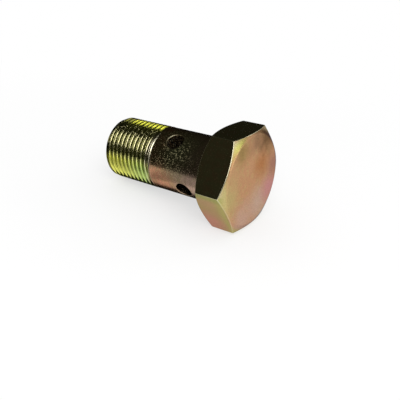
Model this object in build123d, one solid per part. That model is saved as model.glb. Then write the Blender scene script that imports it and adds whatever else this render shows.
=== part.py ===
from build123d import *

import os
from math import atan2, cos, degrees, hypot, radians, tan

# Banjo bolt: a hollow hexagon screw that clamps a banjo eye between its head and a port and
# lets fluid pass from the port, up the middle of the screw and out through its side.
# It is one turned and milled piece of steel. The screw is modelled standing on its axis, with
# the seat under the head at z = 0, the head above it and the shank below it, and is laid down
# at the end as it comes to rest: on one flat of the head and the edge of its threaded end.

# Hexagon head
HEAD_ACROSS_FLATS = 17.0
HEAD_HEIGHT = 6.2
FACE_INSET = 0.425        # from the middle of a flat in to the round outer face
FACE_CHAMFER_ANGLE = 25.0  # degrees, from the plane of the face
SEAT_INSET = 0.425        # from the middle of a flat in to the round seat
SEAT_CHAMFER_ANGLE = 30.0  # degrees, from the plane of the seat
SEAT_FILLET = 0.4         # where the shank runs into the seat

# Smooth shank, which the banjo eye and its two sealing washers sit on
SHANK_DIAMETER = 11.9
SHANK_LENGTH = 12.0

# Thread M12 x 1, kept plain here at its major diameter
THREAD_DIAMETER = 12.0
THREAD_RUNOUT = 1.0       # from the smooth shank to the first full turn
THREAD_LENGTH = 11.0      # full turns, to the end of the screw
THREAD_END_CHAMFER = 0.8

# Axial oilway, drilled blind from the threaded end
OILWAY_DIAMETER = 6.0
OILWAY_PAST_CROSS = 0.35  # full bore left beyond the cross drilling nearest the head
OILWAY_COUNTERSINK = 0.5
DRILL_POINT_ANGLE = 118.0

# Two cross drillings, right through the shank, a quarter turn and a step apart
CROSS_DIAMETER = 3.3
CROSS_TO_SEAT = 5.0       # centre of the one nearest the head
CROSS_TO_THREAD = 3.7     # centre of the one nearest the thread
CROSS_HEADING = 30.0      # degrees, from the flat that the head rests on to a corner of the head
CROSS_RIM_CHAMFER = 0.15

# How far cutting tools run on past the metal that they cut
TOOL_OVERRUN = 1.0

LENGTH_UNDER_HEAD = SHANK_LENGTH + THREAD_RUNOUT + THREAD_LENGTH


def hexagon_head():
    """Hexagon bar, turned at both ends to the cones that leave a round face and a round seat."""
    face_radius = HEAD_ACROSS_FLATS / 2 - FACE_INSET
    seat_radius = HEAD_ACROSS_FLATS / 2 - SEAT_INSET
    outside = HEAD_ACROSS_FLATS / 2 / cos(radians(30)) + TOOL_OVERRUN
    seat_rise = (outside - seat_radius) * tan(radians(SEAT_CHAMFER_ANGLE))
    face_fall = (outside - face_radius) * tan(radians(FACE_CHAMFER_ANGLE))
    section = Polyline(
        (0, 0),
        (seat_radius, 0),
        (outside, seat_rise),
        (outside, HEAD_HEIGHT - face_fall),
        (face_radius, HEAD_HEIGHT),
        (0, HEAD_HEIGHT),
        close=True,
    )
    turned = revolve(make_face(Plane.XZ * section), Axis.Z)
    hexagon = RegularPolygon(HEAD_ACROSS_FLATS / 2, 6, major_radius=False, rotation=30)
    return turned & extrude(hexagon, HEAD_HEIGHT)


def shank():
    """Smooth shank and thread blank, with the chamfer that leads the thread into its port."""
    smooth = SHANK_DIAMETER / 2
    thread = THREAD_DIAMETER / 2
    section = Polyline(
        (0, 0),
        (smooth, 0),
        (smooth, -SHANK_LENGTH),
        (thread, -SHANK_LENGTH - THREAD_RUNOUT),
        (thread, -LENGTH_UNDER_HEAD + THREAD_END_CHAMFER),
        (thread - THREAD_END_CHAMFER, -LENGTH_UNDER_HEAD),
        (0, -LENGTH_UNDER_HEAD),
        close=True,
    )
    return revolve(make_face(Plane.XZ * section), Axis.Z)


def fillet_under_head(bolt):
    """Rounds the corner between shank and seat."""
    at_seat = bolt.edges().filter_by(GeomType.CIRCLE).filter_by_position(Axis.Z, 0, 0)
    return fillet(at_seat.sort_by(SortBy.RADIUS).first, SEAT_FILLET)


def axial_oilway():
    """The drill that makes the axial oilway, with its point and the countersink at its mouth."""
    radius = OILWAY_DIAMETER / 2
    shoulder = -CROSS_TO_SEAT + CROSS_DIAMETER / 2 + OILWAY_PAST_CROSS
    point = shoulder + radius / tan(radians(DRILL_POINT_ANGLE / 2))
    flare = OILWAY_COUNTERSINK + TOOL_OVERRUN
    section = Polyline(
        (0, point),
        (radius, shoulder),
        (radius, -LENGTH_UNDER_HEAD + OILWAY_COUNTERSINK),
        (radius + flare, -LENGTH_UNDER_HEAD - TOOL_OVERRUN),
        (0, -LENGTH_UNDER_HEAD - TOOL_OVERRUN),
        close=True,
    )
    return revolve(make_face(Plane.XZ * section), Axis.Z)


def cross_drilling(below_seat, heading):
    """A drill run straight through the shank, across its axis."""
    drill = Cylinder(CROSS_DIAMETER / 2, SHANK_DIAMETER + 2 * TOOL_OVERRUN, rotation=(0, 90, 0))
    return Pos(0, 0, -below_seat) * Rot(0, 0, heading) * drill


def outer_rims(bolt):
    """The four saddle-shaped edges where the cross drillings break out of the smooth shank."""
    wall_middle = (SHANK_DIAMETER + OILWAY_DIAMETER) / 4

    def breaks_out(edge):
        centre = edge.center(CenterOf.BOUNDING_BOX)
        return -SHANK_LENGTH < centre.Z < 0 and hypot(centre.X, centre.Y) > wall_middle

    return bolt.edges().filter_by(GeomType.LINE, reverse=True).filter_by(breaks_out)


def banjo_bolt():
    """The whole screw, standing on its axis."""
    bolt = fillet_under_head(hexagon_head() + shank())
    bolt -= axial_oilway()
    bolt -= cross_drilling(CROSS_TO_SEAT, CROSS_HEADING + 90)
    bolt -= cross_drilling(SHANK_LENGTH - CROSS_TO_THREAD, CROSS_HEADING)
    return chamfer(outer_rims(bolt), CROSS_RIM_CHAMFER)


def resting_tilt():
    """Degrees that the axis dips towards the thread, with the head's flat and the thread's edge down."""
    edge_of_flat = SEAT_INSET * tan(radians(SEAT_CHAMFER_ANGLE))
    edge_of_thread = LENGTH_UNDER_HEAD - THREAD_END_CHAMFER
    drop = (HEAD_ACROSS_FLATS - THREAD_DIAMETER) / 2
    return degrees(atan2(drop, edge_of_thread + edge_of_flat))


def laid_down(bolt):
    """Turns the screw onto its flat, head towards +X, with the origin under the middle of its box."""
    bolt = Rot(0, 90 - resting_tilt(), 0) * bolt
    box = bolt.bounding_box()
    return Pos(-box.center().X, -box.center().Y, -box.min.Z) * bolt


os.makedirs("parts", exist_ok=True)
export_step(laid_down(banjo_bolt()), "parts/banjo_bolt.step")
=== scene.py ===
# %% [markdown]
# # A banjo bolt, from plain solid to plated part
#
# A banjo bolt is a hollow hexagon screw. It holds a ring-shaped fitting, the banjo eye, against
# a port, and fluid runs up its middle and out through holes in its side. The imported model
# already has its real shape, without the thread. Here it gets the thread, edges softened as
# tumbling leaves them, and the yellow, rainbow-tinted film of zinc plating.

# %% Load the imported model
from math import acos, atan2, cos, degrees, pi, radians, sin, sqrt, tan

import bmesh
import bpy
from mathutils import Matrix, Vector


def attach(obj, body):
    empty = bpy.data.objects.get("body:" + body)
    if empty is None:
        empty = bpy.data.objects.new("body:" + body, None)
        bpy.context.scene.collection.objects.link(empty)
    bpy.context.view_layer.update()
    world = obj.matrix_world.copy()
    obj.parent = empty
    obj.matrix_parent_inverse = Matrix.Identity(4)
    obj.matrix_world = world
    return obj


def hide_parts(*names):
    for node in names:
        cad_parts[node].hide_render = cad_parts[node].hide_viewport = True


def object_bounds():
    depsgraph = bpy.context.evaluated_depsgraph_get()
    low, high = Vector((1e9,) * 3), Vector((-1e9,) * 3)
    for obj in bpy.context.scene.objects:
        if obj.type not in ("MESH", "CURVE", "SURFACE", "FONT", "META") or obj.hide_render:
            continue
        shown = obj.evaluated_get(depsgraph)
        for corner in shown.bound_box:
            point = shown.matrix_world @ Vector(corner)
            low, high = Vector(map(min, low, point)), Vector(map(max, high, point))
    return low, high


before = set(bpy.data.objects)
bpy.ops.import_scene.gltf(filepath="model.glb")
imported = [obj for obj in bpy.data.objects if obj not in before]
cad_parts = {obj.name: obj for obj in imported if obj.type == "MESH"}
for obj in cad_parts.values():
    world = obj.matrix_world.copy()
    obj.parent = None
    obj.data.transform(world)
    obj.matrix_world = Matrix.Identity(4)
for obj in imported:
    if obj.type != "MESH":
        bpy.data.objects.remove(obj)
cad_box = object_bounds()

print("solids of the packed model:", sorted(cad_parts))
print("its box in mm:", [[round(1000 * c, 3) for c in corner] for corner in cad_box])

# %% [markdown]
# ## The sizes of the screw
#
# A turner works from a drawing of the screw by itself, with its axis as the zero line. The
# same is easiest here: every size is in millimetres, the axis is Z, the seat under the head is
# at zero, the head lies above it and the shank below. One matrix then lays the finished screw
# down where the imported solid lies, and turns millimetres into metres.

# %% Sizes of the head
FLAT = 17.0 / 2                # from the axis to a flat
HALF_FLAT_ANGLE = radians(30)  # that half a flat spans round the axis
HEAD_HEIGHT = 6.2
FACE_INSET = 0.425             # from a flat in to the round outer face
FACE_RADIUS = FLAT - FACE_INSET
FACE_SLOPE = tan(radians(25))
SEAT_INSET = 0.425             # from a flat in to the round seat
SEAT_RADIUS = FLAT - SEAT_INSET
SEAT_SLOPE = tan(radians(30))
SEAT_FILLET = 0.4              # where the shank runs into the seat
print("head:", 2 * FLAT, "mm across flats,", HEAD_HEIGHT, "mm high")

# %% Sizes of the shank, thread and oilways
SHANK_RADIUS = 11.9 / 2
SHANK_END = -12.0
THREAD_RADIUS = 12.0 / 2
RUNOUT = 1.0                 # from the smooth shank to the first full turn
PITCH = 1.0
END = -24.0
END_CHAMFER = 0.8
OILWAY_RADIUS = 6.0 / 2
OILWAY_SHOULDER = -3.0
DRILL_POINT_ANGLE = 118      # degrees
OILWAY_POINT = OILWAY_SHOULDER + OILWAY_RADIUS / tan(radians(DRILL_POINT_ANGLE / 2))
OILWAY_COUNTERSINK = 0.5
CROSS_RADIUS = 3.3 / 2
NEAR_CROSS = -5.0            # height of the cross drilling nearest the head
FAR_CROSS = -8.3
NEAR_HEADINGS = (120, 300)   # degrees round the axis, from the flat that the head rests on
FAR_HEADINGS = (30, 210)
print("length under the head:", -END, "mm, shank:", 2 * SHANK_RADIUS, "mm across")

# %% The matrix that lays the screw down
edge_of_flat = SEAT_INSET * SEAT_SLOPE
tilt = atan2(FLAT - THREAD_RADIUS, -(END + END_CHAMFER) + edge_of_flat)
lean = pi / 2 - tilt
seat_above_floor = FLAT * sin(lean) - edge_of_flat * cos(lean)
seat_to_front = FACE_RADIUS * cos(lean) + HEAD_HEIGHT * sin(lean)
seat = Vector((cad_box[1].x - seat_to_front / 1000, 0, seat_above_floor / 1000))
lay_down = Matrix.Translation(seat) @ Matrix.Rotation(lean, 4, "Y") @ Matrix.Scale(0.001, 4)
print("the axis dips", round(degrees(tilt), 3), "degrees towards the thread")

# %% [markdown]
# ## The camera
#
# A camera is easiest to check when it is written as a photographer would say it: how far it
# stands round the object, how high, how far off, what it looks at, and how it is rolled.

# %% Put an object into the scene
def add_object(name, data):
    """A new object that carries a mesh, a lamp or a camera, linked into the scene."""
    made = bpy.data.objects.new(name, data)
    bpy.context.scene.collection.objects.link(made)
    return made


# %% Camera
CAMERA_ROUND = radians(33.791)   # from straight in front, towards the head
CAMERA_UP = radians(29.815)
CAMERA_ROLL = radians(4.687)
CAMERA_AWAY = 0.09825            # metres from the place that it looks at
AIM = Vector((0.005143, -0.001319, 0.001852))
LENS = 47.41                     # mm, on a sensor 36 mm wide

camera = add_object("camera", bpy.data.cameras.new("camera"))
camera.data.lens = LENS
camera.data.clip_start = 0.005
camera.data.clip_end = 10
facing = Matrix.Rotation(CAMERA_ROUND, 4, "Z") @ Matrix.Rotation(pi / 2 - CAMERA_UP, 4, "X")
camera.matrix_world = (
    Matrix.Translation(AIM)
    @ facing
    @ Matrix.Translation((0, 0, CAMERA_AWAY))
    @ Matrix.Rotation(CAMERA_ROLL, 4, "Z")
)
bpy.context.scene.camera = camera
print("camera at", [round(1000 * c, 1) for c in camera.matrix_world.translation], "mm")

# %% [markdown]
# ## Outlines and rings
#
# Nearly all of the screw is turned, so its mesh can be a stack of rings round the axis. Each
# column of vertices on the outside follows one outline, from the face down to the thread. Real
# edges are never sharp: a small arc in the outline catches the light as a tumbled edge does. A
# row close beside each arc keeps the flat surface next to it flat.

# %% Round one corner of an outline
ARC_STEPS = 5
HOLD = 0.03   # how far beside an arc its holding rows lie, in mm


def rounded(before, corner, after, radius):
    """Points (radius, height) that replace a corner: a row to hold, an arc, a row to hold."""
    before, corner, after = Vector(before), Vector(corner), Vector(after)
    back = (before - corner).normalized()
    on = (after - corner).normalized()
    half = acos(max(-1, min(1, back.dot(on)))) / 2
    reach = radius / tan(half)
    middle = corner + (back + on).normalized() * radius / sin(half)
    start = corner + back * reach - middle
    end = corner + on * reach - middle
    sweep = pi - 2 * half
    arc = [corner + back * (reach + HOLD)]
    for step in range(ARC_STEPS + 1):
        share = step / ARC_STEPS
        mixed = start * sin((1 - share) * sweep) + end * sin(share * sweep)
        arc.append(middle + mixed / sin(sweep))
    arc.append(corner + on * (reach + HOLD))
    return arc


# %% The hexagon, with its six corners softened
COLUMNS = 192                  # vertices round the axis
PER_SIDE = COLUMNS // 6
CORNER_SOFTENING = 0.15
CORNER_STEPS = 3               # columns that one half of a softened corner takes
BESIDE_CORNER = 1.35           # angle of the next column, as a share of that half
corner_middle = (FLAT - CORNER_SOFTENING) / cos(HALF_FLAT_ANGLE)
corner_half = atan2(
    CORNER_SOFTENING * sin(HALF_FLAT_ANGLE),
    corner_middle + CORNER_SOFTENING * cos(HALF_FLAT_ANGLE),
)


def turn(column):
    """Angle of an evenly spaced column."""
    return 2 * pi * column / COLUMNS


def hexagon_column(column):
    """Angle of a column of the head, and the hexagon's radius there."""
    step = (column - PER_SIDE // 2) % PER_SIDE
    step = step - PER_SIDE if step > PER_SIDE // 2 else step
    count = abs(step)
    if count <= CORNER_STEPS:
        off = corner_half * count / CORNER_STEPS
    else:
        first = corner_half * BESIDE_CORNER
        share = (count - CORNER_STEPS - 1) / (PER_SIDE // 2 - CORNER_STEPS - 1)
        off = first + (HALF_FLAT_ANGLE - first) * share
    if count < CORNER_STEPS:
        radius = corner_middle * cos(off) + sqrt(
            CORNER_SOFTENING ** 2 - (corner_middle * sin(off)) ** 2
        )
    else:
        radius = FLAT / cos(HALF_FLAT_ANGLE - off)
    return turn(column - step) + (off if step > 0 else -off), radius


radii = [hexagon_column(column)[1] for column in range(COLUMNS)]
print("hexagon radius from", round(min(radii), 3), "to", round(max(radii), 3), "mm")

# %% [markdown]
# ## The head
#
# The head is a slice of hexagon bar whose two ends are turned to a cone. Where a cone meets a
# flat it leaves the curved edge that every machined screw head has. Cutting one solid with
# another would give that edge too, but as a ragged row of small faces. Here every column knows
# how far out its flat lies, so its outline meets the cone at the true height, and the curve
# comes out smooth by itself.

# %% Outline of the head in one column
FACE_EDGE = 0.7        # radius of the softened edge round the face
FACE_RIM = 0.18        # and of the curved edges where the cones meet the flats
SEAT_RIM = 0.12
SEAT_EDGE = 0.15
FACE_RINGS = (2.6, 5.4)


def head_outline(column):
    """Points (radius, height) of one column, from inside the face to inside the seat."""
    flat = hexagon_column(column)[1]
    corners = [
        (0, HEAD_HEIGHT),
        (FACE_RADIUS, HEAD_HEIGHT),
        (flat, HEAD_HEIGHT - (flat - FACE_RADIUS) * FACE_SLOPE),
        (flat, (flat - SEAT_RADIUS) * SEAT_SLOPE),
        (SEAT_RADIUS, 0),
        (SHANK_RADIUS, 0),
    ]
    outline = [Vector((radius, HEAD_HEIGHT)) for radius in FACE_RINGS]
    for place, radius in enumerate((FACE_EDGE, FACE_RIM, SEAT_RIM, SEAT_EDGE)):
        outline += rounded(*corners[place:place + 3], radius)
    return outline


# %% Rings of vertices, and the walls between them
metal = bmesh.new()


def point(angle, radius, height):
    """A place given by its angle round the axis, its radius and its height."""
    return Vector((radius * cos(angle), radius * sin(angle), height))


def ring(angles, radius, height):
    """A closed ring of vertices at one radius and height."""
    return [metal.verts.new(point(angle, radius, height)) for angle in angles]


def wall(upper, lower, open_columns=()):
    """Faces between two rings of as many vertices, apart from the columns left open."""
    count = len(upper)
    for column in range(count):
        beside = (column + 1) % count
        if column not in open_columns:
            metal.faces.new((upper[column], upper[beside], lower[beside], lower[column]))


def cap(middle, rim):
    """A fan of faces from one vertex to a ring."""
    for column, vertex in enumerate(rim):
        metal.faces.new((middle, vertex, rim[(column + 1) % len(rim)]))


head_angles = [hexagon_column(column)[0] for column in range(COLUMNS)]
head_outlines = [head_outline(column) for column in range(COLUMNS)]
outer = [
    [metal.verts.new(point(head_angles[column], *head_outlines[column][row]))
     for column in range(COLUMNS)]
    for row in range(len(head_outlines[0]))
]
cap(metal.verts.new((0, 0, HEAD_HEIGHT)), outer[0])
print("rings of the head:", len(outer))

# %% [markdown]
# ## The shank and its windows
#
# A round hole in a round wall has a saddle-shaped rim. The wall is left open over a window of
# whole faces round each hole, and the gap between window and hole is filled with rings that
# change from one shape to the other. Both walls, outside and inside the oilway, have windows
# with the same number of vertices, so the wall of the hole is one more stack of rings between
# them. The spacing of the shank's rings is a tenth of the step between the two holes, so that
# one set of rings serves both.

# %% Plain rings of a stack
def add_rings(rings, angles, radius, stop, shares):
    """Adds rings of one radius to a stack, at shares of the way from its last ring to a height."""
    start = rings[-1][0].co.z
    for share in shares:
        rings.append(ring(angles, radius, start + (stop - start) * share))


# %% Rings of the shank
ROWS_APART = 10          # from the middle of one hole to the middle of the other
ROW_STEP = (NEAR_CROSS - FAR_CROSS) / ROWS_APART
OUTER_WINDOW = (7, 11)   # rows and columns from the middle of a window to its edge
INNER_WINDOW = (6, 12)
QUARTERS = (0.25, 0.5, 0.75)
THIRDS = (1 / 3, 2 / 3, 1)
near_top = NEAR_CROSS + OUTER_WINDOW[0] * ROW_STEP
window_rows = 2 * OUTER_WINDOW[0] + ROWS_APART
even_angles = [turn(column) for column in range(COLUMNS)]

for radius, height in rounded(
    (SEAT_RADIUS, 0), (SHANK_RADIUS, 0), (SHANK_RADIUS, END), SEAT_FILLET
):
    outer.append(ring(even_angles, radius, height))
add_rings(outer, even_angles, SHANK_RADIUS, near_top, QUARTERS)
outer_near_row = len(outer) + OUTER_WINDOW[0]
for row in range(window_rows + 1):
    outer.append(ring(even_angles, SHANK_RADIUS, near_top - row * ROW_STEP))
outer_far_row = outer_near_row + ROWS_APART
add_rings(outer, even_angles, SHANK_RADIUS, SHANK_END, THIRDS)
print("rings down to the thread:", len(outer))

# %% Rings inside the oilway
INNER_COLUMNS = COLUMNS // 2
POINT_RINGS = (0.1, 0.4, 0.7)   # shares of the bore's radius, along the drill point
BORE_EDGE = 0.08
MOUTH_RADIUS = OILWAY_RADIUS + OILWAY_COUNTERSINK
inner_angles = [2 * pi * column / INNER_COLUMNS for column in range(INNER_COLUMNS)]
inner = []
for share in POINT_RINGS:
    inner.append(ring(
        inner_angles,
        OILWAY_RADIUS * share,
        OILWAY_POINT + (OILWAY_SHOULDER - OILWAY_POINT) * share,
    ))
cap(metal.verts.new((0, 0, OILWAY_POINT)), inner[0])
inner_near_row = len(inner) + INNER_WINDOW[0]
inner_far_row = inner_near_row + ROWS_APART
inner.append(ring(inner_angles, OILWAY_RADIUS, OILWAY_SHOULDER))
for row in range(1, 2 * INNER_WINDOW[0] + ROWS_APART + 1):
    height = NEAR_CROSS + (INNER_WINDOW[0] - row) * ROW_STEP
    inner.append(ring(inner_angles, OILWAY_RADIUS, height))
bore_mouth = END + OILWAY_COUNTERSINK
add_rings(inner, inner_angles, OILWAY_RADIUS, bore_mouth, QUARTERS)
mouth_corners = [
    (OILWAY_RADIUS, 0),
    (OILWAY_RADIUS, bore_mouth),
    (MOUTH_RADIUS, END),
    (THREAD_RADIUS, END),
]
for place in (0, 1):
    for radius, height in rounded(*mouth_corners[place:place + 3], BORE_EDGE):
        inner.append(ring(inner_angles, radius, height))
print("rings of the oilway:", len(inner))


# %% The loop round a window, and the columns it leaves open
def loop(rings, middle_row, middle_column, window):
    """Vertices round a window, from above its middle round to there again."""
    rows, columns = window
    path = [(-rows, column) for column in range(columns)]
    path += [(row, columns) for row in range(-rows, rows)]
    path += [(rows, column) for column in range(columns, -columns, -1)]
    path += [(row, -columns) for row in range(rows, -rows, -1)]
    path += [(-rows, column) for column in range(-columns, 0)]
    count = len(rings[0])
    return [rings[middle_row + row][(middle_column + column) % count] for row, column in path]


def walls_with_windows(rings, windows, size):
    """All the walls between rings, open where a window (its middle row and column) lies."""
    rows, columns = size
    count = len(rings[0])
    for row in range(len(rings) - 1):
        open_columns = set()
        for middle_row, middle_column in windows:
            if middle_row - rows <= row < middle_row + rows:
                first = middle_column - columns
                open_columns |= {column % count for column in range(first, first + 2 * columns)}
        wall(rings[row], rings[row + 1], open_columns)


def column_at(heading, columns):
    """The column that lies at a heading in degrees."""
    return round(heading / 360 * columns)


holes = [(NEAR_CROSS, outer_near_row, inner_near_row, heading) for heading in NEAR_HEADINGS]
holes += [(FAR_CROSS, outer_far_row, inner_far_row, heading) for heading in FAR_HEADINGS]
walls_with_windows(
    outer, [(row, column_at(heading, COLUMNS)) for _, row, _, heading in holes], OUTER_WINDOW
)
walls_with_windows(
    inner, [(row, column_at(heading, INNER_COLUMNS)) for _, _, row, heading in holes], INNER_WINDOW
)
print("holes through the wall:", len(holes))

# %% [markdown]
# ## The cross drillings
#
# A drill leaves a sharp rim that cuts fingers and seals, so it is broken by a small chamfer
# and then tumbled. Each ring below is a circle round the hole's own axis, raised onto the
# round wall. The circle gets smaller over the rim's arc and then stays the size of the drill.

# %% Rims and walls of the cross drillings
CROSS_RIM = 0.15
CROSS_RIM_INSIDE = 0.06
RIM_STEPS = 5


def rim_rings(window_loop, wall_radius, softening, into, heading, height):
    """Rings from a window to the drilled hole. Into is -1 in the outer wall, 1 in the inner."""
    out = Vector((cos(heading), sin(heading), 0))
    side = Vector((-sin(heading), cos(heading), 0))
    middle = Vector((0, 0, height))
    around = [atan2(v.co.dot(side), v.co.z - height) for v in window_loop]

    def circle(radius, depth):
        """A circle round the hole's axis, sunk below the wall by a depth."""
        made = []
        for angle in around:
            across = radius * sin(angle)
            rise = sqrt(wall_radius ** 2 - across ** 2) + into * depth
            place = middle + out * rise + side * across + Vector((0, 0, radius * cos(angle)))
            made.append(metal.verts.new(place))
        return made

    def part_way(share):
        """The window's loop, drawn in by a share of the way to the rim."""
        made = []
        for vertex, angle in zip(window_loop, around):
            across, up = vertex.co.dot(side), vertex.co.z - height
            edge = CROSS_RADIUS + softening + HOLD
            across += (edge * sin(angle) - across) * share
            up += (edge * cos(angle) - up) * share
            rise = sqrt(wall_radius ** 2 - across ** 2)
            made.append(metal.verts.new(middle + out * rise + side * across + Vector((0, 0, up))))
        return made

    rings = [window_loop] + [part_way(share) for share in THIRDS]
    for step in range(RIM_STEPS + 1):
        sweep = pi / 2 * step / RIM_STEPS
        rings.append(circle(
            CROSS_RADIUS + softening * (1 - sin(sweep)),
            softening * (1 - cos(sweep)),
        ))
    rings.append(circle(CROSS_RADIUS, softening + HOLD))
    for upper, lower in zip(rings, rings[1:]):
        wall(upper, lower)
    return rings[-1]


for height, outer_row, inner_row, heading in holes:
    outer_loop = loop(outer, outer_row, column_at(heading, COLUMNS), OUTER_WINDOW)
    inner_loop = loop(inner, inner_row, column_at(heading, INNER_COLUMNS), INNER_WINDOW)
    angle = radians(heading)
    outside = rim_rings(outer_loop, SHANK_RADIUS, CROSS_RIM, -1, angle, height)
    inside = rim_rings(inner_loop, OILWAY_RADIUS, CROSS_RIM_INSIDE, 1, angle, height)
    wall(outside, inside)
print("faces so far:", len(metal.faces))

# %% [markdown]
# ## Reckoning with nodes
#
# Node trees do their sums with Math nodes, which are slow to read when there are many. This
# small class wraps one socket, so that an ordinary Python expression adds the nodes. It is
# used for the thread here and for the plating's colours later.


# %% A socket that Python can reckon with
class Wire:
    """One output of a node. Sums on wires and numbers add Math nodes to the tree."""

    def __init__(self, tree, socket=None):
        self.tree = tree
        self.socket = socket

    def node(self, kind, settings, sockets, output=0):
        """Any node: its settings first, then its sockets, by name or number."""
        made = self.tree.nodes.new(kind)
        for name, value in settings.items():
            setattr(made, name, value)
        for name, value in sockets.items():
            if isinstance(value, Wire):
                self.tree.links.new(value.socket, made.inputs[name])
            else:
                made.inputs[name].default_value = value
        return Wire(self.tree, made.outputs[output])

    def math(self, operation, *values):
        return self.node("ShaderNodeMath", {"operation": operation}, dict(enumerate(values)))

    def __add__(self, other):
        return self.math("ADD", self, other)

    def __radd__(self, other):
        return self.math("ADD", other, self)

    def __sub__(self, other):
        return self.math("SUBTRACT", self, other)

    def __rsub__(self, other):
        return self.math("SUBTRACT", other, self)

    def __mul__(self, other):
        return self.math("MULTIPLY", self, other)

    def __rmul__(self, other):
        return self.math("MULTIPLY", other, self)

    def __truediv__(self, other):
        return self.math("DIVIDE", self, other)

    def __rtruediv__(self, other):
        return self.math("DIVIDE", other, self)

    def do(self, operation, *others):
        """A Math node of any other kind, with this wire as its first value."""
        return self.math(operation, self, *others)

    def ease(self, start, stop):
        """0 where the wire is at start, 1 at stop, with a smooth run between them."""
        return self.node("ShaderNodeMapRange", {"interpolation_type": "SMOOTHSTEP"}, {
            "Value": self, "From Min": start, "From Max": stop,
        })

    def choose(self, low, high):
        """The colour low where the wire is 0, the colour high where it is 1."""
        low, high = (c if isinstance(c, Wire) else (*c, 1) for c in (low, high))
        return self.node(
            "ShaderNodeMix", {"data_type": "RGBA"}, {"Factor": self, 6: low, 7: high}, 2
        )

    def finish(self, shader, kind="Material"):
        """Ends the tree of a material, or of the world, in a shader."""
        end = self.tree.nodes.new("ShaderNodeOutput" + kind)
        self.tree.links.new(shader.socket, end.inputs["Surface"])


# %% [markdown]
# ## The thread
#
# A thread is one groove that follows a rule: it drops by one pitch in each turn. A boolean cut
# with a helical tool is the workshop's way, but it is slow and leaves slivers. Geometry Nodes
# can wrap a flat grid round the screw instead. The grid's rows slant by one pitch in a full
# turn, so they run along crest and groove and keep both crisp. At the two ends the rows are
# stopped at a level height, and the points that fall together there are merged.

# %% Sizes of the thread form
CREST_AT_ZERO = -11.257      # height at which a crest passes the angle zero
CREST_HALF = PITCH / 16      # half the flat crest
FLANK = PITCH * 5 / 16       # along the axis, from crest to root
FLANK_ANGLE = radians(30)
DEPTH = FLANK / tan(FLANK_ANGLE)
CREST_ROUNDING = 0.45        # shares of the depth over which a flank leaves the crest
ROOT_ROUNDING = 0.4          # and joins the root
LEAD_ROUNDING = 0.04         # mm, where the end's chamfer cuts the crests
ROWS_PER_TURN = 18
END_EDGE = 0.1
WELD = 0.001                 # mm within which vertices are merged
end_corners = [
    (THREAD_RADIUS, END + END_CHAMFER),
    (THREAD_RADIUS - END_CHAMFER, END),
    (OILWAY_RADIUS, END),
]
end_arc = rounded(*end_corners, END_EDGE)
thread_sizes = {
    "Columns": COLUMNS,
    "Rows per Turn": ROWS_PER_TURN,
    "Pitch": PITCH,
    "Crest at Zero": CREST_AT_ZERO,
    "Start": SHANK_END,
    "Stop": end_arc[0].y,
    "Runout": RUNOUT,
    "Shank Radius": SHANK_RADIUS,
    "Thread Radius": THREAD_RADIUS,
    "Crest Half": CREST_HALF,
    "Flank": FLANK,
    "Depth": DEPTH,
    "Radius at Stop": end_arc[0].x,
    "Crest Rounding": CREST_ROUNDING,
    "Root Rounding": ROOT_ROUNDING,
    "Lead Rounding": LEAD_ROUNDING,
    "Weld": WELD,
}
print("depth of the thread:", round(DEPTH, 3), "mm")


# %% The tree that wraps a grid into a thread
def thread_tree(sizes):
    """Geometry Nodes for an outside thread, with a named input for each size."""
    tree = bpy.data.node_groups.new("outside_thread", "GeometryNodeTree")
    tree.interface.new_socket("Thread", in_out="OUTPUT", socket_type="NodeSocketGeometry")
    for name, value in sizes.items():
        kind = "NodeSocketInt" if isinstance(value, int) else "NodeSocketFloat"
        tree.interface.new_socket(name, in_out="INPUT", socket_type=kind)
    tree.interface.new_socket("Metal", in_out="INPUT", socket_type="NodeSocketMaterial")
    given = tree.nodes.new("NodeGroupInput")
    size = {name: Wire(tree, given.outputs[name]) for name in [*sizes, "Metal"]}
    nodes = Wire(tree)

    pitch, first, start, stop = (size[n] for n in ("Pitch", "Crest at Zero", "Start", "Stop"))
    rows = ((first + pitch - stop) / pitch * size["Rows per Turn"]).do("CEIL")
    grid = nodes.node("GeometryNodeMeshGrid", {}, {
        "Size X": 1.0, "Size Y": 1.0, "Vertices X": size["Columns"] + 1, "Vertices Y": rows + 1,
    })
    flat = nodes.node("GeometryNodeInputPosition", {}, {})
    across, down = (
        nodes.node("ShaderNodeSeparateXYZ", {}, {0: flat}, output) for output in (0, 1)
    )
    across = across + 0.5
    down = 0.5 - down

    slanted = first + pitch * (across - down * rows / size["Rows per Turn"])
    height = slanted.do("MINIMUM", start).do("MAXIMUM", stop)
    from_crest = ((height - first) / pitch - across).do("PINGPONG", 0.5) * pitch
    dent = (from_crest - size["Crest Half"]) / size["Flank"]
    dent = dent.do("SMOOTH_MAX", 0, size["Crest Rounding"])
    dent = dent.do("SMOOTH_MIN", 1, size["Root Rounding"]) * size["Depth"]
    begun = ((start - height) / size["Runout"]).do("MINIMUM", 1)
    eased = begun * begun * (3 - 2 * begun)
    crest = size["Shank Radius"] + (size["Thread Radius"] - size["Shank Radius"]) * begun
    lead = size["Radius at Stop"] + height - stop
    radius = (crest - dent * eased).do("SMOOTH_MIN", lead, size["Lead Rounding"])
    angle = across * (2 * pi)
    place = nodes.node("ShaderNodeCombineXYZ", {}, {
        0: radius * angle.do("COSINE"), 1: radius * angle.do("SINE"), 2: height,
    })
    wrapped = nodes.node("GeometryNodeSetPosition", {}, {"Geometry": grid, "Position": place})
    closed = nodes.node("GeometryNodeMergeByDistance", {}, {
        "Geometry": wrapped, "Distance": size["Weld"],
    })
    real = nodes.node("GeometryNodeRealizeInstances", {}, {"Geometry": closed})
    plated = nodes.node(
        "GeometryNodeSetMaterial", {}, {"Geometry": real, "Material": size["Metal"]}
    )
    result = tree.nodes.new("NodeGroupOutput")
    tree.links.new(plated.socket, result.inputs["Thread"])
    return tree


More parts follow.
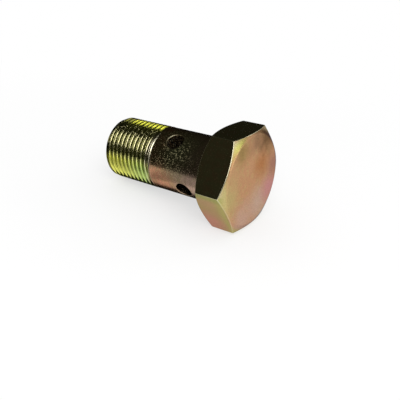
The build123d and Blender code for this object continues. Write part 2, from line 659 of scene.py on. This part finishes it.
# %% Run the tree and take its mesh
plating = bpy.data.materials.new("yellow_zinc_plating")
tree = thread_tree(thread_sizes)
maker = add_object("thread_maker", bpy.data.meshes.new("thread_maker"))
modifier = maker.modifiers.new("outside_thread", "NODES")
modifier.node_group = tree
for item in tree.interface.items_tree:
    if item.in_out == "INPUT":
        modifier[item.identifier] = plating if item.name == "Metal" else thread_sizes[item.name]
depsgraph = bpy.context.evaluated_depsgraph_get()
thread_mesh = bpy.data.meshes.new_from_object(maker.evaluated_get(depsgraph))
bpy.data.objects.remove(maker)
metal.from_mesh(thread_mesh)
print("faces of the thread:", len(thread_mesh.polygons))

# %% [markdown]
# ## Closing the piece
#
# The thread's last row meets the end face, and the oilway's last ring has half as many
# vertices as the end face has, so faces with five corners join them. On a flat face that does
# no harm. Then everything that falls together is merged, and the mesh is checked: a solid
# piece has no edge with fewer or more than two faces.
#
# Each vertex also gets a number, "bend", for how sharply the surface turns there: the angles of
# its edges times their lengths, over the area of its faces. The plating reads it later.

# %% End face
end_rings = [ring(even_angles, radius, height) for radius, height in end_arc]
for upper, lower in zip(end_rings, end_rings[1:]):
    wall(upper, lower)
for column in range(INNER_COLUMNS):
    beside = (column + 1) % INNER_COLUMNS
    rim = end_rings[-1]
    metal.faces.new((
        rim[2 * column],
        rim[2 * column + 1],
        rim[(2 * column + 2) % COLUMNS],
        inner[-1][beside],
        inner[-1][column],
    ))

# %% Merge and check
bmesh.ops.remove_doubles(metal, verts=metal.verts, dist=WELD)
bmesh.ops.dissolve_degenerate(metal, edges=metal.edges, dist=WELD / 2)
unused = [vertex for vertex in metal.verts if not vertex.link_faces]
bmesh.ops.delete(metal, geom=unused, context="VERTS")
bmesh.ops.recalc_face_normals(metal, faces=metal.faces)
open_edges = sum(not edge.is_manifold for edge in metal.edges)
volume = metal.calc_volume(signed=True)
print("unused vertices deleted:", len(unused))
print("open edges:", open_edges, " volume:", round(volume, 1), "mm3")

# %% Bend at each vertex
bend_layer = metal.verts.layers.float.new("bend")
for vertex in metal.verts:
    bent = sum(edge.calc_face_angle_signed(0) * edge.calc_length() for edge in vertex.link_edges)
    vertex[bend_layer] = bent / sum(face.calc_area() for face in vertex.link_faces)
print("sharpest bend:", round(max(vertex[bend_layer] for vertex in metal.verts), 1), "per mm")

# %% Lay the screw down and make it an object
SHARP_FROM = radians(40)
bmesh.ops.transform(metal, matrix=lay_down, verts=metal.verts)
for face in metal.faces:
    face.smooth = True
    face.material_index = 0
bolt_mesh = bpy.data.meshes.new("plated_bolt")
metal.to_mesh(bolt_mesh)
bolt_mesh.materials.clear()
bolt_mesh.materials.append(plating)
bolt_mesh.set_sharp_from_angle(angle=SHARP_FROM)
bolt = add_object("plated_bolt", bolt_mesh)
bolt_mesh.calc_loop_triangles()
print("triangles of the bolt:", len(bolt_mesh.loop_triangles))

# %% [markdown]
# ## The plating
#
# Steel parts like this one are zinc plated and then dipped in a yellow passivate. The film that
# forms is clear and thinner than a wavelength of light, so its colour changes with its
# thickness: tan and straw where it is even, pink, green and orange where the bath pooled or
# drained. From outside that is a coloured metal, so all of it goes into the base colour of one
# metallic shader.
#
# The stains have places on the screw. The Mapping node undoes the lay-down matrix, so that the
# sums below are in millimetres from the seat, with z along the screw. The side of the screw that
# lies uppermost is at negative x, and its near side is at negative y.


# %% Start an empty tree, and count what is in it
def empty_tree(owner):
    """A wire into the node tree of a material or a world, with its first nodes taken out."""
    owner.use_nodes = True
    owner.node_tree.nodes.clear()
    return Wire(owner.node_tree)


def count_nodes(part):
    """Prints how many nodes the plating has, now that one more part of it is made."""
    print("nodes with the " + part + ":", len(plating.node_tree.nodes))


# %% Where a spot lies on the screw
paint = empty_tree(plating)
surface = paint.node("ShaderNodeTexCoord", {}, {}, "Object")
spot = paint.node("ShaderNodeMapping", {"vector_type": "TEXTURE"}, {
    "Vector": surface,
    "Location": seat,
    "Rotation": (0, lean, 0),
    "Scale": (0.001, 0.001, 0.001),
})
x, y, z = (paint.node("ShaderNodeSeparateXYZ", {}, {0: spot}, axis) for axis in range(3))
from_axis = (x * x + y * y).do("SQRT")
count_nodes("place of a spot")


# %% Between two heights
def between(low, high, soft):
    """1 where z lies between two heights, fading to 0 within soft millimetres outside them."""
    return z.ease(low - soft, low) * z.ease(high + soft, high)


# %% [markdown]
# ## Clouds
#
# No bath leaves an even film. Four clouds of noise, from half a centimetre down to a sixth of a
# millimetre, serve every stain below. Using the same few again keeps the tree small, and it ties
# the effects together: where one stain wavers, its neighbour gives way.

# %% Clouds of noise
def cloud(size, detail=2.0, roughness=0.5, shift=0.0, place=spot):
    """Noise from 0 to 1 whose clouds are about size millimetres across."""
    moved = paint.node("ShaderNodeVectorMath", {"operation": "ADD"}, {
        0: place, 1: (shift, shift, shift),
    })
    return paint.node("ShaderNodeTexNoise", {}, {
        "Vector": moved, "Scale": 1 / size, "Detail": detail, "Roughness": roughness,
    })


drift = cloud(5.5, detail=1, shift=11.0)
waver = cloud(1.6, detail=3, roughness=0.6)
mottle = cloud(0.9, detail=3, roughness=0.65, shift=5.0)
grain = cloud(0.16, roughness=0.6, shift=3.0)
count_nodes("clouds")


# %% A stain
def stain(place, reach):
    """1 at a place on the screw, fading to 0 at reach millimetres, with a wavering edge."""
    away = paint.node("ShaderNodeVectorMath", {"operation": "DISTANCE"}, {0: spot, 1: place}, 1)
    return (away + (waver - 0.5) * (reach * 0.5)).ease(reach, 0)


def stained(ground, *stains):
    """A colour with stains over it, each given by its place, reach, colour and strength."""
    for place, reach, colour, strength in stains:
        ground = (stain(place, reach) * strength).choose(ground, colour)
    return ground


# %% [markdown]
# ## Colours of the head
#
# The outer face is tan, mottled with straw. Round its rim lie the stains where the bath ran off:
# orange and pink on one side, greenish straw on the other and pale rose at its foot. The brown
# at the top, towards the far upper corner, is painted shade. Each line of the list is one stain:
# its place, its reach in millimetres, its colour and its strength. Every one is laid over those
# before it, as a glaze is.

# %% Outer face
TAN = (0.61, 0.33, 0.17)
STRAW = (0.58, 0.46, 0.19)
# painted shade: the brown that darkens the face and its chamfer towards their far upper corner
SHADE_BROWN = (0.14, 0.08, 0.033)
face_stains = (
    ((-2.5, -6.0, 6.2), 4.0, (0.58, 0.37, 0.175), 0.6),
    ((1.2, -7.8, 6.2), 5.0, STRAW, 0.9),
    ((5.2, 2.0, 6.2), 5.5, (0.65, 0.46, 0.35), 0.8),
    ((6.4, -3.2, 6.2), 5.0, (0.66, 0.43, 0.32), 0.8),
    ((3.5, 5.9, 6.2), 4.4, (0.65, 0.30, 0.285), 0.9),
    ((-0.7, 7.2, 6.2), 3.6, (0.42, 0.20, 0.15), 0.8),
    ((-2.2, 2.8, 6.2), 3.8, (0.51, 0.225, 0.09), 0.95),
    ((-6.2, -3.6, 6.2), 3.6, (0.37, 0.25, 0.09), 0.9),
    ((-7.2, 1.0, 6.2), 4.2, (0.36, 0.21, 0.115), 0.8),
    # painted shade towards the far upper corner of the face
    ((-7.4, 5.2, 5.8), 5.5, SHADE_BROWN, 0.95),
)
head = stained((mottle.ease(0.45, 0.70) * 0.4).choose(TAN, STRAW), *face_stains)
print("stains on the face:", len(face_stains))

# %% Chamfer round the face
LIME = (0.66, 0.64, 0.17)
chamfer_stains = (
    ((-8.3, -4.9, 5.7), 4.0, LIME, 1.0),
    # painted shade towards the far upper corner of the chamfer
    ((-8.2, 4.6, 5.7), 7.0, SHADE_BROWN, 0.95),
    ((0.0, -9.0, 5.7), 4.5, (0.58, 0.50, 0.21), 0.9),
)
chamfer = from_axis.ease(8.05, 8.45) * z.ease(5.0, 5.6)
for place, reach, colour, strength in chamfer_stains:
    head = (chamfer * stain(place, reach) * strength).choose(head, colour)
print("stains on the chamfer:", len(chamfer_stains))

# %% Six flats
DULL_GOLD = (0.52, 0.38, 0.16)
WARM_GOLD = (0.57, 0.38, 0.19)
GREEN_GOLD = (0.55, 0.48, 0.17)      # near the outer face
ROSE = (0.70, 0.33, 0.23)            # low on the near side
OLIVE_STRAW = (0.42, 0.42, 0.14)     # along the upper edge of the side flats
PALE_STRAW = (0.58, 0.51, 0.27)      # the upper flats, mottled with the next
PALE_TAN = (0.66, 0.45, 0.25)
on_flat = z.ease(6.0, 5.5) * from_axis.ease(8.2, 8.5)
flat = drift.ease(0.4, 0.6).choose(DULL_GOLD, WARM_GOLD)
flat = z.ease(3.4, 5.6).choose(flat, GREEN_GOLD)
flat = stained(flat, ((7.2, -6.0, 1.4), 5.0, ROSE, 0.9))
flat = (x.ease(1.7, 0.4) * 0.8).choose(flat, OLIVE_STRAW)
upper_flats = mottle.ease(0.4, 0.7).choose(PALE_STRAW, PALE_TAN)
flat = x.ease(0.2, -0.4).choose(flat, upper_flats)
head = on_flat.choose(head, flat)
count_nodes("head")

# %% [markdown]
# ## Colours of the shank
#
# The shank was turned, so its film is streaked round the screw. The clouds for the streaks are
# drawn out round the axis and kept narrow along it, by scaling the spot before the noise reads
# it. The film goes from brown near the thread to a dull rose near the head, with an orange stain
# low on the near side and a green-grey one above it.

# %% Shank
DRAWN_OUT = (0.25, 0.25, 3.0)   # how the spot is scaled for the streaks
LIGHT_BROWN = (0.44, 0.28, 0.155)
DULL_ROSE = (0.54, 0.36, 0.28)
RED_BROWN = (0.56, 0.27, 0.155)
ORANGE = (0.72, 0.33, 0.20)
DARK_STRAW = (0.36, 0.31, 0.12)
DARK_STREAK = (0.22, 0.16, 0.09)
GREEN_GREY = (0.44, 0.46, 0.25)
drawn_out = paint.node("ShaderNodeVectorMath", {"operation": "MULTIPLY"}, {
    0: spot, 1: DRAWN_OUT,
})
streaks = cloud(1.0, detail=3, roughness=0.7, shift=2.0, place=drawn_out)
shank = z.ease(-9.5, -2.5).choose(LIGHT_BROWN, DULL_ROSE)
shank = (z.ease(-7.5, -10.5) * waver.ease(0.3, 0.6)).choose(shank, RED_BROWN)
shank = stained(shank, ((2.5, -5.4, -9.6), 4.5, ORANGE, 0.9))
shank = (mottle.ease(0.45, 0.7) * 0.4).choose(shank, DARK_STRAW)
shank = (streaks.ease(0.45, 0.75) * 0.4).choose(shank, DARK_STREAK)
shank = stained(shank, ((-4.4, -4.0, -7.0), 6.5, GREEN_GREY, 0.8))
count_nodes("shank")

# %% [markdown]
# ## Colours of the thread
#
# The thread is smoother and took a film that goes from gold at its end to green at the shank.
# One side has lost most of it and has small nicks, and there it is also painted pale as a
# painted highlight on the crests. Along the top the last turns are olive. The border between
# thread and shank lies a little lower on the underside.

# %% Thread
GOLD = (0.98, 0.97, 0.18)
DEEP_GOLD = (0.98, 0.97, 0.10)   # along the top
GREEN = (0.60, 0.80, 0.24)
OLIVE = (0.20, 0.18, 0.06)
# worn film and painted highlight on the crests of one side
PALE_WORN_HIGHLIGHT = (0.88, 0.81, 0.48)
NICK = (0.22, 0.19, 0.09)
# that side faces up and towards the near side, where the crests are worn and carry a painted
# highlight
WORN_AND_HIGHLIT_SIDE = (-0.669, -0.743)     # x and y of the direction in which the worn side faces
BORDER_DROP = 0.45               # how much lower the border lies on the underside
worn_and_highlit = (x * WORN_AND_HIGHLIT_SIDE[0] + y * WORN_AND_HIGHLIT_SIDE[1]).ease(4.2, 5.8)
nicks = cloud(0.32, detail=1, shift=17.0).ease(0.52, 0.62) * worn_and_highlit
gold = x.ease(0.0, -3.0).choose(GOLD, DEEP_GOLD)
thread = (z.ease(-21.0, -13.5) * x.ease(-3.5, 1.5)).choose(gold, GREEN)
# worn film and painted highlight on that side
thread = (worn_and_highlit * 0.75).choose(thread, PALE_WORN_HIGHLIGHT)
thread = (nicks * 0.4).choose(thread, NICK)
thread = (z.ease(-20.8, -21.6) * x.ease(-4.6, -5.4) * 0.85).choose(thread, OLIVE)
thread = (waver.ease(0.55, 0.8) * 0.35).choose(thread, OLIVE)
border = z + BORDER_DROP * x.ease(-0.5, 3.5)
below_head = border.ease(SHANK_END - 0.7, SHANK_END - 1.0).choose(shank, thread)
count_nodes("thread")

# %% [markdown]
# ## The run-out
#
# Where the thread runs out into the shank the tool left fine rings on a small lip that faces
# the head. They are far too fine to model. A sine of the height goes into the bump later, and its
# quarter-turned twin, the cosine, into the colour here, because a slope is steepest where its
# wave crosses zero. In the colour that is a painted highlight on one side of each ring, on the
# near side, over painted shade on the rest of the run-out, strongest along the top. On the
# underside a thin dark line of painted shadow parts the thread from the shank.

# %% Rings of the run-out
RING_STEP = 0.45
LIP_FOOT = SHANK_END - 0.8
LIP_SLOPE = 12                   # rise of the bump's height in each mm towards the thread
# painted highlight on the steep side of each ring
RING_HIGHLIGHT = (0.92, 0.85, 0.62)
# painted shade over the run-out between the rings
RING_PAINTED_SHADE = (0.28, 0.24, 0.13)
# painted shadow: in the crevice between thread and shank on the underside, and beside the mouth of
# the lower near hole
PAINTED_SHADOW_BLACK = (0.05, 0.035, 0.01)
lip = (LIP_FOOT - z) * LIP_SLOPE
phase = z * (2 * pi / RING_STEP) + waver * 2
rings = phase.do("SINE")
ring_highlight = phase.do("COSINE").ease(0.9, 0.1) * y.ease(-1.5, -2.5) * waver.ease(0.32, 0.40)
runout = between(SHANK_END - 1.3, SHANK_END - 0.3, 0.35) * y.ease(-0.3, -1.5)
runout = runout * (0.2 + 0.8 * x.ease(0.5, -2.0))
# painted shade over the run-out, then the painted highlight on the rings
below_head = (runout * 0.8).choose(below_head, RING_PAINTED_SHADE)
below_head = (runout * ring_highlight).choose(below_head, RING_HIGHLIGHT)
# painted shadow in the crevice where the thread meets the shank, on the underside
shadow_line = border.ease(SHANK_END - 0.95, SHANK_END - 0.65)
shadow_line = shadow_line * border.ease(SHANK_END - 0.25, SHANK_END - 0.50) * x.ease(1.0, 2.0)
below_head = (shadow_line * 0.9).choose(below_head, PAINTED_SHADOW_BLACK)
colour = z.ease(-0.3, -0.05).choose(below_head, head)
count_nodes("run-out")

# %% [markdown]
# ## Edges, grooves and oilways
#
# The film is thinnest where metal bends sharply, and handling polishes those places too, so the
# edges of the head and the crests on one side look paler. That paleness is also painted
# highlight, stronger on the upper side, and the rim of one hole carries a strong painted
# highlight. The mesh's own attribute "bend" tells the shader where the edges are. The distance
# from the axis tells a groove from a crest, and the grooves get a darker olive. Inside the oilways
# the colour is grey on the upper side and dark brown on the lower.

# %% Edges, grooves and oilways
# pale edges: partly thin film, partly painted highlight
PALE_WEAR_AND_HIGHLIGHT = (0.80, 0.74, 0.50)
DEEP_OLIVE = (0.12, 0.14, 0.012)     # in the grooves
BORE_GREY = (0.50, 0.44, 0.38)        # inside the oilways, on their upper side
BORE_BROWN = (0.12, 0.11, 0.09)       # and on their lower side
DARK_OLIVE = (0.08, 0.075, 0.02)     # the chamfer at the threaded end
# painted highlight on the rim of one hole
RIM_HIGHLIGHT_AT = (-5.4, -2.3, -9.8), 2.0  # the rim of one hole: its place and reach in mm
bend = paint.node("ShaderNodeAttribute", {"attribute_name": "bend"}, {}, "Fac")
sharp = bend.ease(0.6, 2.2)
on_thread = z.ease(SHANK_END - 0.5, SHANK_END - 0.9)
on_shank = z.ease(-0.5, -1.0)
# how pale the edges are painted: thin film, and painted highlight that is stronger on the upper
# side
rubbed_and_highlit = 0.25 + 0.65 * x.ease(1.5, -1.0)
rubbed_and_highlit = rubbed_and_highlit + on_shank * (0.1 + 0.9 * stain(*RIM_HIGHLIGHT_AT) - rubbed_and_highlit)
rubbed_and_highlit = rubbed_and_highlit + on_thread * (0.08 + 0.5 * worn_and_highlit * (1 - nicks) - rubbed_and_highlit)
# painted shadow beside the mouth of the lower near hole
colour = stained(colour, ((4.5, -4.0, -3.9), 1.5, PAINTED_SHADOW_BLACK, 0.9))
colour = (sharp * rubbed_and_highlit).choose(colour, PALE_WEAR_AND_HIGHLIGHT)
groove = from_axis.ease(5.90, 5.62) * on_thread * (1 - runout) * (1 - 0.3 * x.ease(1.0, 4.5))
colour = (groove * 0.65).choose(colour, DEEP_OLIVE)
end_rim = from_axis.ease(5.0, 5.2)
inside = from_axis.ease(5.75, 5.3) * z.ease(-0.1, -0.3) * (1 - on_thread * end_rim)
bore_colour = x.ease(-2.0, 2.0).choose(BORE_GREY, BORE_BROWN)
colour = (inside * 0.8).choose(colour, bore_colour)
end_chamfer = z.ease(-23.0, -23.25) * end_rim
colour = (end_chamfer * 0.85).choose(colour, DARK_OLIVE)
count_nodes("edges")

# %% [markdown]
# ## Pits and dents
#
# Zinc does not level out the steel below it. The shank has pits, crowded on its near side, and
# the crests of the thread are dented. A pit catches light where the smooth metal round it is
# dark, so it is rougher, and deep enough in the bump to turn away from its surroundings. Its
# paler colour, and that of the dents, is a painted glint.

# %% Pits and dents
# painted glint in the pits and dents
PIT_GLINT = (0.93, 0.85, 0.50)
GRAIN = (0.05, 0.045, 0.02)
FINE_PITS_AT = (-4.2, -4.2, -8.4), 6.5
LARGE_PITS_AT = (-4.3, -4.1, -5.9), 4.5
on_smooth = between(SHANK_END - 0.3, -0.6, 0.35)
fine_pits = cloud(0.24, detail=1, shift=8.0).ease(0.56, 0.68) * on_smooth
fine_pits = fine_pits * (0.2 + 0.8 * stain(*FINE_PITS_AT))
large_pits = cloud(0.5, detail=1, shift=14.0).ease(0.63, 0.69) * stain(*LARGE_PITS_AT)
pits = fine_pits.do("MAXIMUM", large_pits)
dents = cloud(0.36, detail=1, shift=27.0).ease(0.60, 0.70) * x.ease(-1.5, -3.0) * on_thread
glinting_pits = pits.do("MAXIMUM", dents * 0.7)
# pits and dents painted pale as a painted glint
colour = (glinting_pits * 0.9).choose(colour, PIT_GLINT)
colour = (grain.ease(0.3, 0.75) * 0.22).choose(colour, GRAIN)
count_nodes("pits")

# %% [markdown]
# ## The shader
#
# One metallic shader carries the whole screw. Its roughness is lower on the smooth thread and
# higher in the pits and dents, on the rims of the holes and round the seat. A bump far finer than
# any edge gives the plating its satin grain, its pits and dents, and the rings of the run-out. The
# specular tint dims the metal towards its outline, as a film over zinc does.

# %% The shader
SATIN = 0.20            # roughness of the plain film
BUMP_DEPTH = 0.000012   # metres that a height of 1 stands for
BUMP_STRENGTH = 0.6
RING_HEIGHT = 4
PIT_DEPTH = 5
DENT_DEPTH = 3
FILM_EDGE = (0.35, 0.37, 0.45, 1)
roughness = SATIN + waver * 0.07 - on_thread * 0.07
rough_cut = sharp * z.ease(2.0, 1.0) * (1 - on_thread)
roughness = roughness + glinting_pits * 0.45 + rough_cut * 0.2
height = grain * 0.7 + mottle * 0.3 + (rings * RING_HEIGHT + lip) * runout
height = height - pits * PIT_DEPTH - dents * DENT_DEPTH
bump = paint.node("ShaderNodeBump", {}, {
    "Height": height, "Distance": BUMP_DEPTH, "Strength": BUMP_STRENGTH,
})
skin = paint.node("ShaderNodeBsdfPrincipled", {}, {
    "Base Color": colour,
    "Metallic": 1.0,
    "Roughness": roughness,
    "Normal": bump,
    "Specular Tint": FILM_EDGE,
})
paint.finish(skin)
count_nodes("shader")

# %% [markdown]
# ## The lamps
#
# Metal shows what stands round it, so a lamp for metal is chosen for its place and size more than
# for its strength. A large soft box, high on the near side, draws the turns of the thread along
# its middle and lights the paper. A smaller one behind on the right draws the bright bars along
# its top, and a dim one near the floor lights the chamfer of the head. What a reflection shows is
# a lamp's radiance, so that is what is set here.

# %% Lamps
def lamp(name, place, size, radiance):
    """A rectangular soft box that faces the screw and looks equally bright at any size."""
    made = bpy.data.lights.new(name, "AREA")
    made.shape = "RECTANGLE"
    made.size, made.size_y = size
    made.energy = radiance * pi * size[0] * size[1]
    rig = add_object(name, made)
    rig.visible_camera = False
    toward = (-Vector(place)).to_track_quat("-Z", "Y")
    rig.matrix_world = Matrix.Translation(place) @ toward.to_matrix().to_4x4()


lamp("overhead_softbox", (0.22, -0.22, 0.30), size=(0.38, 0.28), radiance=2.6)
lamp("right_softbox", (0.187, 0.352, 0.221), size=(0.20, 0.065), radiance=1.8)
lamp("low_softbox", (0.412, 0.134, 0.0764), size=(0.22, 0.147), radiance=1.0)
print("lamps:", len(bpy.data.lights))

# %% [markdown]
# ## White paper
#
# The screw lies on a round sheet of white paper. Lit only by the lamps it would look grey beside
# the white of the room, so part of it glows. The glow is only for rays that end in the picture:
# those from the camera, and those that metal reflects or glass lets through. Rays that carry
# light find plain matt paper, so the glow lights nothing. Near the screw less of the paper glows,
# which keeps the shadow.

# %% A thing of the studio
def studio_piece(name, mesh, material):
    """Makes an object of a mesh and gives it a material."""
    made = add_object(name, bpy.data.meshes.new(name))
    mesh.to_mesh(made.data)
    made.data.materials.append(material)
    return made


# %% Rays that end in the picture
def is_seen(tree):
    """1 for a ray from the camera or off shiny metal or through glass, 0 for one that lights."""
    names = ("Is Camera Ray", "Is Glossy Ray", "Is Transmission Ray")
    rays = [tree.node("ShaderNodeLightPath", {}, {}, name) for name in names]
    return (rays[0] + rays[1] + rays[2]).do("MINIMUM", 1)


# %% Paper
SHEET_RADIUS = 1.6
GLOW_NEAR = 0.60               # share of the paper that glows beside the screw
GLOW_REACH = (0.02, 0.10)      # metres over which that share grows to the whole
PAPER_WHITE = (0.9, 0.9, 0.9, 1)
white = bpy.data.materials.new("white_paper")
paper = empty_tree(white)
on_sheet = paper.node("ShaderNodeTexCoord", {}, {}, "Object")
out_from_screw = paper.node("ShaderNodeVectorMath", {"operation": "LENGTH"}, {0: on_sheet}, 1)
glow_share = GLOW_NEAR + (1 - GLOW_NEAR) * out_from_screw.ease(*GLOW_REACH)
lit = paper.node("ShaderNodeBsdfDiffuse", {}, {"Color": PAPER_WHITE})
glow = paper.node("ShaderNodeEmission", {}, {"Color": (1, 1, 1, 1), "Strength": 1.0})
paper.finish(paper.node("ShaderNodeMixShader", {}, {
    0: is_seen(paper) * glow_share, 1: lit, 2: glow,
}))
sheet = bmesh.new()
bmesh.ops.create_circle(sheet, cap_ends=True, segments=96, radius=SHEET_RADIUS)
studio_piece("white_floor", sheet, white)
print("paper:", 2 * SHEET_RADIUS, "m across")

# %% [markdown]
# ## The black tent
#
# In a white room a plated screw would look white all over. Photographers hang black cloth round
# shiny parts, and leave open only what should shine. This tent is a dome with its hem lifted on
# one side, where the outer face and the chamfer of the head look out. It is there for reflections
# alone: the camera does not see it, and it throws no shadow.

# %% Cloth and cards
def plain_glow(name, colour):
    """A material of one colour in any light, for a thing that only reflections show."""
    made = bpy.data.materials.new(name)
    tree = empty_tree(made)
    tree.finish(tree.node("ShaderNodeEmission", {}, {"Color": (*colour, 1), "Strength": 1.0}))
    return made


def only_reflected(thing):
    """Hides a thing of the studio from everything but reflections."""
    thing.visible_camera = False
    thing.visible_shadow = False
    thing.visible_diffuse = False


def smooth(value, start, stop):
    """0 at start, 1 at stop, with a smooth run between them."""
    share = max(0.0, min(1.0, (value - start) / (stop - start)))
    return share * share * (3 - 2 * share)


BLACK = (0.022, 0.0235, 0.017)
black = plain_glow("black_cloth", BLACK)
print("black cloth shows as", BLACK)

# %% Tent
TENT_RADIUS = 0.6
TENT_COLUMNS = 72
TENT_ROWS = 12
TOP_OPENING = 0.5              # rows short of the top, where one face closes the dome
HEM = radians(0.5)             # elevation of the hem where it hangs down
OPEN_HEADING = radians(45)
OPEN_UP_TO = radians(20)
OPEN_COSINES = (0.86, 0.93)    # of the angle from the opening's middle to where it begins and ends
tent = bmesh.new()
tent_rings = []
for row in range(TENT_ROWS + 1):
    tent_rings.append([])
    for column in range(TENT_COLUMNS):
        heading = 2 * pi * column / TENT_COLUMNS
        low = HEM + OPEN_UP_TO * smooth(cos(heading - OPEN_HEADING), *OPEN_COSINES)
        up = low + (pi / 2 - low) * row / (TENT_ROWS + TOP_OPENING)
        tent_rings[-1].append(tent.verts.new((
            TENT_RADIUS * cos(up) * cos(heading),
            TENT_RADIUS * cos(up) * sin(heading),
            TENT_RADIUS * sin(up),
        )))
for lower, upper in zip(tent_rings, tent_rings[1:]):
    for column in range(TENT_COLUMNS):
        beside = (column + 1) % TENT_COLUMNS
        tent.faces.new((lower[column], lower[beside], upper[beside], upper[column]))
tent.faces.new(tent_rings[-1])
only_reflected(studio_piece("black_tent", tent, black))
print("faces of the tent:", len(tent.faces))

# %% [markdown]
# ## Cards near the screw
#
# The last reflections to put in place are those of the paper itself. Two upright black cards, on
# the near side and past the threaded end, cut them off where the shank and the thread should go
# dark, and a low one behind the screw darkens its upper outline. A black card on the paper under
# the screw stands in for the contact shadow, and a grey one beside it dims what the lower half
# of the shank mirrors.

# %% Cards
CARD_TOP = 0.06
LOW_CARD_TOP = 0.016
ON_PAPER = 0.0002
GREY = (0.42, 0.42, 0.42)


def upright(start, stop, top=CARD_TOP):
    """Corners of a card that stands on the paper from one place to another."""
    return ((*start, 0), (*stop, 0), (*stop, top), (*start, top))


def lying(*places):
    """Corners of a card that lies on the paper."""
    return [(*place, ON_PAPER) for place in places]


def cards(name, material, *outlines):
    """One thing of the studio, made of flat cards."""
    mesh = bmesh.new()
    for corners in outlines:
        mesh.faces.new([mesh.verts.new(corner) for corner in corners])
    only_reflected(studio_piece(name, mesh, material))
    print(name, "made:", len(outlines))


cards(
    "black_cards",
    black,
    upright((-0.034, -0.022), (0.01, -0.0295)),
    upright((-0.034, -0.022), (-0.031, 0.014)),
    upright((-0.030, 0.018), (0.0, 0.018), LOW_CARD_TOP),
    lying((-0.013, -0.0047), (0.0082, -0.0047), (0.0082, 0.006), (-0.013, 0.006)),
)
cards(
    "grey_card",
    plain_glow("grey_card", GREY),
    lying(
        (-0.014, -0.031), (0.018, -0.031), (0.006, -0.0105), (0.0, -0.0092), (-0.0075, -0.0062)
    ),
)

# %% [markdown]
# ## The room
#
# Beyond the paper the room is white where it is seen and a little dimmer as a light, by the same
# test of the ray that the paper uses. It fills the shadows softly from all round.

# %% Room
WALLS_AS_LIGHT = (0.82, 0.82, 0.82, 1)
WALLS_AS_SEEN = (1, 1, 1, 1)
room = bpy.data.worlds.new("room")
sky = empty_tree(room)
walls = sky.node("ShaderNodeBackground", {}, {"Color": WALLS_AS_LIGHT})
backdrop = sky.node("ShaderNodeBackground", {}, {"Color": WALLS_AS_SEEN})
behind = sky.node("ShaderNodeMixShader", {}, {0: is_seen(sky), 1: walls, 2: backdrop})
sky.finish(behind, "World")
bpy.context.scene.world = room
bpy.context.scene.view_settings.view_transform = "Standard"
print("nodes of the room:", len(room.node_tree.nodes))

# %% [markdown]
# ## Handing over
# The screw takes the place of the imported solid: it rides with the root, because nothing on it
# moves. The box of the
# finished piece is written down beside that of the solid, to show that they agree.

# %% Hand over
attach(bolt, "root")
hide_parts("banjo_bolt")
